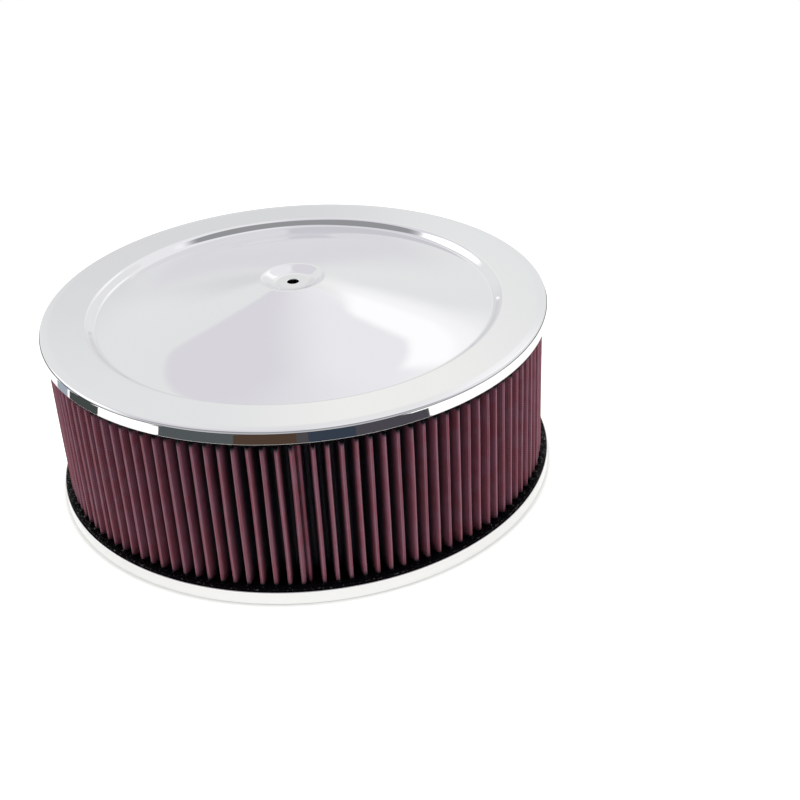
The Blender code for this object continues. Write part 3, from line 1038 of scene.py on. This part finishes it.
@dataclass(frozen=True)
class Studio:
    """Plain white studio: floor, surround, soft lamps and the camera of the photograph."""

    look_turn: float = math.radians(2.8)
    camera_distance: float = 0.84524
    camera_height: float = 0.53786
    yaw: float = math.radians(4.8098)
    pitch: float = math.radians(30.469)
    roll: float = math.radians(-2.8271)
    lens_mm: float = 59.41
    floor_half: float = 0.8
    floor_paper: float = 0.8
    floor_glow: float = 0.75
    floor_mirrored: float = 0.46
    floor_drop: float = 0.05 * MM
    contact_reach: float = 5.0 * MM
    contact_power: float = 3.0
    floor_tint: str = "#FEFFF2"
    flag_rings: tuple[float, ...] = (0.25, 0.386, 0.400, 1.2)
    flag_height: float = 1.5 * MM
    ceiling: str = "#FCFAFF"
    ceiling_strength: float = 0.85
    lamp_distance: float = 1.6
    patches: tuple[Patch, ...] = (
        Patch("ceiling_right", 60, 60, 60, 60, 10, "#FDFDFF", 1),
        Patch("wall", 0, -50, 200, 88.4, 0.8, "#FDFEFD", 0.93),
        Patch("low_far_wall", -3, -9, 18, 21, 9, "#FBFBFF", 0.82),
        Patch("far_wall", -5, 20, 9, 6, 4, "#FCFDFD", 0.83),
        Patch("near_wall", 4.5, 31, 6, 5, 4, "#FFFFFB", 1.03),
        Patch("bright_wall", 25.5, 35, 14, 5, 4, "#FFFFFF", 1.12),
        Patch("bright_edge", 27, 39, 14, 4, 1.5, "#FFFFFF", 1.2),
        Patch("left_window", -61.5, 32, 18.5, 13, 3, "#FFFFFF", 1.5),
        Patch("right_window", 107, 42, 14, 9, 3, "#FFFFFF", 1.1),
        Patch("low_room_behind", 180, 24, 80, 16, 5, "#FAFAFF", 0.62),
        Patch("room_behind", 189.5, 58, 87.5, 18, 6, "#FBFDFF", 0.36),
        Patch("skirting_behind", 180, -2, 148, 9, 3, "#34343E", 1),
    )
    flags: tuple[Flag, ...] = (
        Flag("flag_far_left", -104.5, -96, "#AAB3BD"),
        Flag("flag_left", -94.5, -77, "#484E4B", 0, -5),
        Flag("flag_green", -50.3, -23.9, "#595F5F", -4, 0),
        Flag("flag_brown", -23.9, -3.5, "#544236"),
        Flag("flag_middle", -3.5, 0.3, "#524E50"),
        Flag("flag_blue", 0.3, 15.7, "#3A4351"),
        Flag("flag_slate", 15.7, 41.6, "#504E54", 0, -6),
    )
    lamps: tuple[Lamp, ...] = (
        Lamp("left_softbox", -120, 35, 1, 8),
        Lamp("right_softbox", 120, 35, 1, 8),
    )

    def camera(self) -> None:
        """Place the camera, turned about the axis by look_turn, and aim it."""
        data = bpy.data.cameras.new("photograph_camera")
        data.lens = self.lens_mm
        camera = in_scene("photograph_camera", data)
        place = (*polar(self.camera_distance, self.look_turn), self.camera_height)
        turn = aimed(self.yaw - self.look_turn, self.pitch, self.roll)
        camera.matrix_world = Matrix.Translation(place) @ turn
        bpy.context.scene.camera = camera

    def floor(self) -> None:
        """White sweep: it takes the soft shadow, and shows white to the camera and to mirrors.

        What the camera sees is the lit paper plus a glow that fades where the object touches the
        paper, by a power of the share of the sky that is open within contact_reach: a painted
        contact shadow.
        """
        side = np.array([-self.floor_half, self.floor_half])
        x, y = np.meshgrid(side, side, indexing="ij")
        grid = np.stack([x, y, np.full_like(x, -self.floor_drop)], -1)
        piece = grid_mesh("studio_floor", grid, closed=False)
        material, tree = blank_material("white_sweep")
        path = add(tree, "LightPath").outputs
        mirrored = add(tree, "Math", {
            0: path["Is Glossy Ray"], 1: path["Is Transmission Ray"],
        }, operation="MAXIMUM")
        openness = add(tree, "AmbientOcclusion", {"Distance": self.contact_reach}).outputs["AO"]
        # Painted contact shadow: the camera's glow dims by a power of the open sky near the object.
        painted_contact_shadow = add(tree, "Math", {0: openness, 1: self.contact_power}, operation="POWER")
        glowing = add(tree, "Math", {0: painted_contact_shadow, 1: self.floor_glow}, operation="MULTIPLY")
        seen = add(tree, "Math", {0: path["Is Camera Ray"], 1: glowing}, operation="MULTIPLY")
        shown = add(tree, "Math", {
            0: mirrored, 1: self.floor_mirrored, 2: seen,
        }, operation="MULTIPLY_ADD")
        glow = add(tree, "Emission", {"Color": linear(self.floor_tint), "Strength": shown})
        paper = add(tree, "BsdfDiffuse", {"Color": linear("#FFFFFF", self.floor_paper)})
        lit = add(tree, "AddShader", {0: glow, 1: paper})
        behind = add(tree, "NewGeometry").outputs["Backfacing"]
        sweep = add(tree, "MixShader", {0: behind, 1: lit, 2: add(tree, "BsdfTransparent")})
        add(tree, "OutputMaterial", {"Surface": sweep})
        piece.data.materials.append(material)

    def flag(self, flag: Flag) -> None:
        """Lay one dark card just above the floor, where only mirrors see it."""
        lean = np.array([0.0, 0.0, 1.0, 1.0])
        start, end = flag.start + lean * flag.start_lean, flag.end + lean * flag.end_lean
        angle = np.radians(np.linspace(start, end, 9, axis=1)) + self.look_turn
        plan = polar(np.array(self.flag_rings)[:, None], angle)
        grid = np.dstack([plan, np.full(plan.shape[:2], self.flag_height)])
        piece = grid_mesh(flag.name, grid, closed=False)
        material, tree = blank_material(flag.name)
        add(tree, "OutputMaterial", {"Surface": add(tree, "Emission", {"Color": linear(flag.colour)})})
        piece.data.materials.append(material)
        for ray in ("camera", "diffuse", "transmission", "shadow"):
            setattr(piece, "visible_" + ray, False)

    def surround(self) -> None:
        """World: plain white to the camera and through glass, and the studio to everything else.

        A direction (x, y, z) has the azimuth atan2(x, y) and the elevation asin(z). Each patch
        blends over the ones before it, by the product of a smooth step across and one up.
        """
        world = bpy.data.worlds.new("studio_surround")
        world.use_nodes = True
        tree = world.node_tree
        tree.nodes.clear()
        way = add(tree, "SeparateXYZ", {0: add(tree, "TexCoord").outputs["Generated"]})
        azimuth = add(tree, "Math", {0: way.outputs[0], 1: way.outputs[1]}, operation="ARCTAN2")
        elevation = add(tree, "Math", {0: way.outputs[2]}, operation="ARCSINE")
        colour = linear(self.ceiling, self.ceiling_strength)
        for patch in self.patches:
            soft = math.radians(patch.softness)
            centre = math.radians(patch.azimuth) - self.look_turn
            turn = add(tree, "Math", {0: azimuth, 1: centre}, operation="SUBTRACT")
            across = add(tree, "Math", {0: turn, 1: math.pi, 2: -math.pi}, operation="WRAP")
            level = math.radians(patch.elevation)
            rise = add(tree, "Math", {0: elevation, 1: level}, operation="SUBTRACT")
            masks = []
            for value, size in ((across, patch.half_width), (rise, patch.half_height)):
                distance, half = add(tree, "Math", {0: value}, operation="ABSOLUTE"), math.radians(size)
                masks.append(add(tree, "MapRange", {
                    0: distance, 1: half - soft, 2: half + soft, 3: 1.0, 4: 0.0,
                }, interpolation_type="SMOOTHSTEP"))
            mask = add(tree, "Math", dict(enumerate(masks)), operation="MULTIPLY")
            colour = add(tree, "Mix", {
                0: mask, 6: colour, 7: linear(patch.colour, patch.strength),
            }, data_type="RGBA", label=patch.name).outputs[2]
        path = add(tree, "LightPath").outputs
        studio = add(tree, "Background", {"Color": colour})
        white = add(tree, "Background", {"Color": linear("#FFFFFF")})
        seen = add(tree, "Math", {
            0: path["Is Camera Ray"], 1: path["Is Transmission Ray"],
        }, operation="MAXIMUM")
        surface = add(tree, "MixShader", {0: seen, 1: studio, 2: white})
        add(tree, "OutputWorld", {"Surface": surface})
        bpy.context.scene.world = world

    def lamp(self, lamp: Lamp) -> None:
        """Hang one lamp so that it points at the object."""
        data = bpy.data.lights.new(lamp.name, "AREA")
        data.size, data.energy = lamp.size, lamp.watts
        light = in_scene(lamp.name, data)
        heading = math.radians(lamp.azimuth) - self.look_turn + math.pi
        back = Matrix.Translation((0.0, 0.0, self.lamp_distance))
        light.matrix_world = aimed(heading, math.radians(lamp.elevation)) @ back
        light.visible_glossy = False

    def build(self) -> None:
        """Build the floor, the flags, the surround, the lamps and the camera."""
        self.floor()
        for flag in self.flags:
            self.flag(flag)
        self.surround()
        for lamp in self.lamps:
            self.lamp(lamp)
        self.camera()
        bpy.context.scene.view_settings.view_transform = "Standard"


def main() -> None:
    """Build the studio and each piece in order."""
    logging.basicConfig(level=logging.INFO, format="%(name)s: %(message)s")
    lid_low, lid_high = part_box("lid")
    base_low, base_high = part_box("base_plate")
    media_low, media_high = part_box("pleated_media")
    lower_seal, upper_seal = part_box("bottom_seal"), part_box("top_seal")
    gasket_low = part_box("neck_gasket")[0]
    seat_gap = 0.3 * MM

    chrome = BrightChrome().build()
    urethane = PouredUrethane().build()
    gauze = OiledGauze(low=lower_seal[1].z, high=upper_seal[0].z).build()
    rubber = MouldedRubber().build()

    pack = PleatedPack(low=media_low.z, high=media_high.z)
    lid = Lid(seat=upper_seal[1].z + seat_gap, radius=lid_high.x)
    hand_over(lid.build(), chrome, "lid")
    hand_over(BasePlate(radius=base_high.x).build(), chrome, "base_plate")
    hand_over(pack.build(), gauze, "pleated_media")
    lower_radius = base_high.x - 1.3 * MM
    lower = EndSeal(pack=pack, end=End.LOWER, outer_face=lower_seal[0].z, outer_radius=lower_radius)
    upper = EndSeal(pack=pack, end=End.UPPER, outer_face=upper_seal[1].z)
    hand_over(lower.build(), urethane, "bottom_seal")
    hand_over(upper.build(), urethane, "top_seal")
    hand_over(NeckGasket(seat=gasket_low.z).build(), rubber, "neck_gasket")
    Studio().build()


if __name__ == "__main__":
    main()
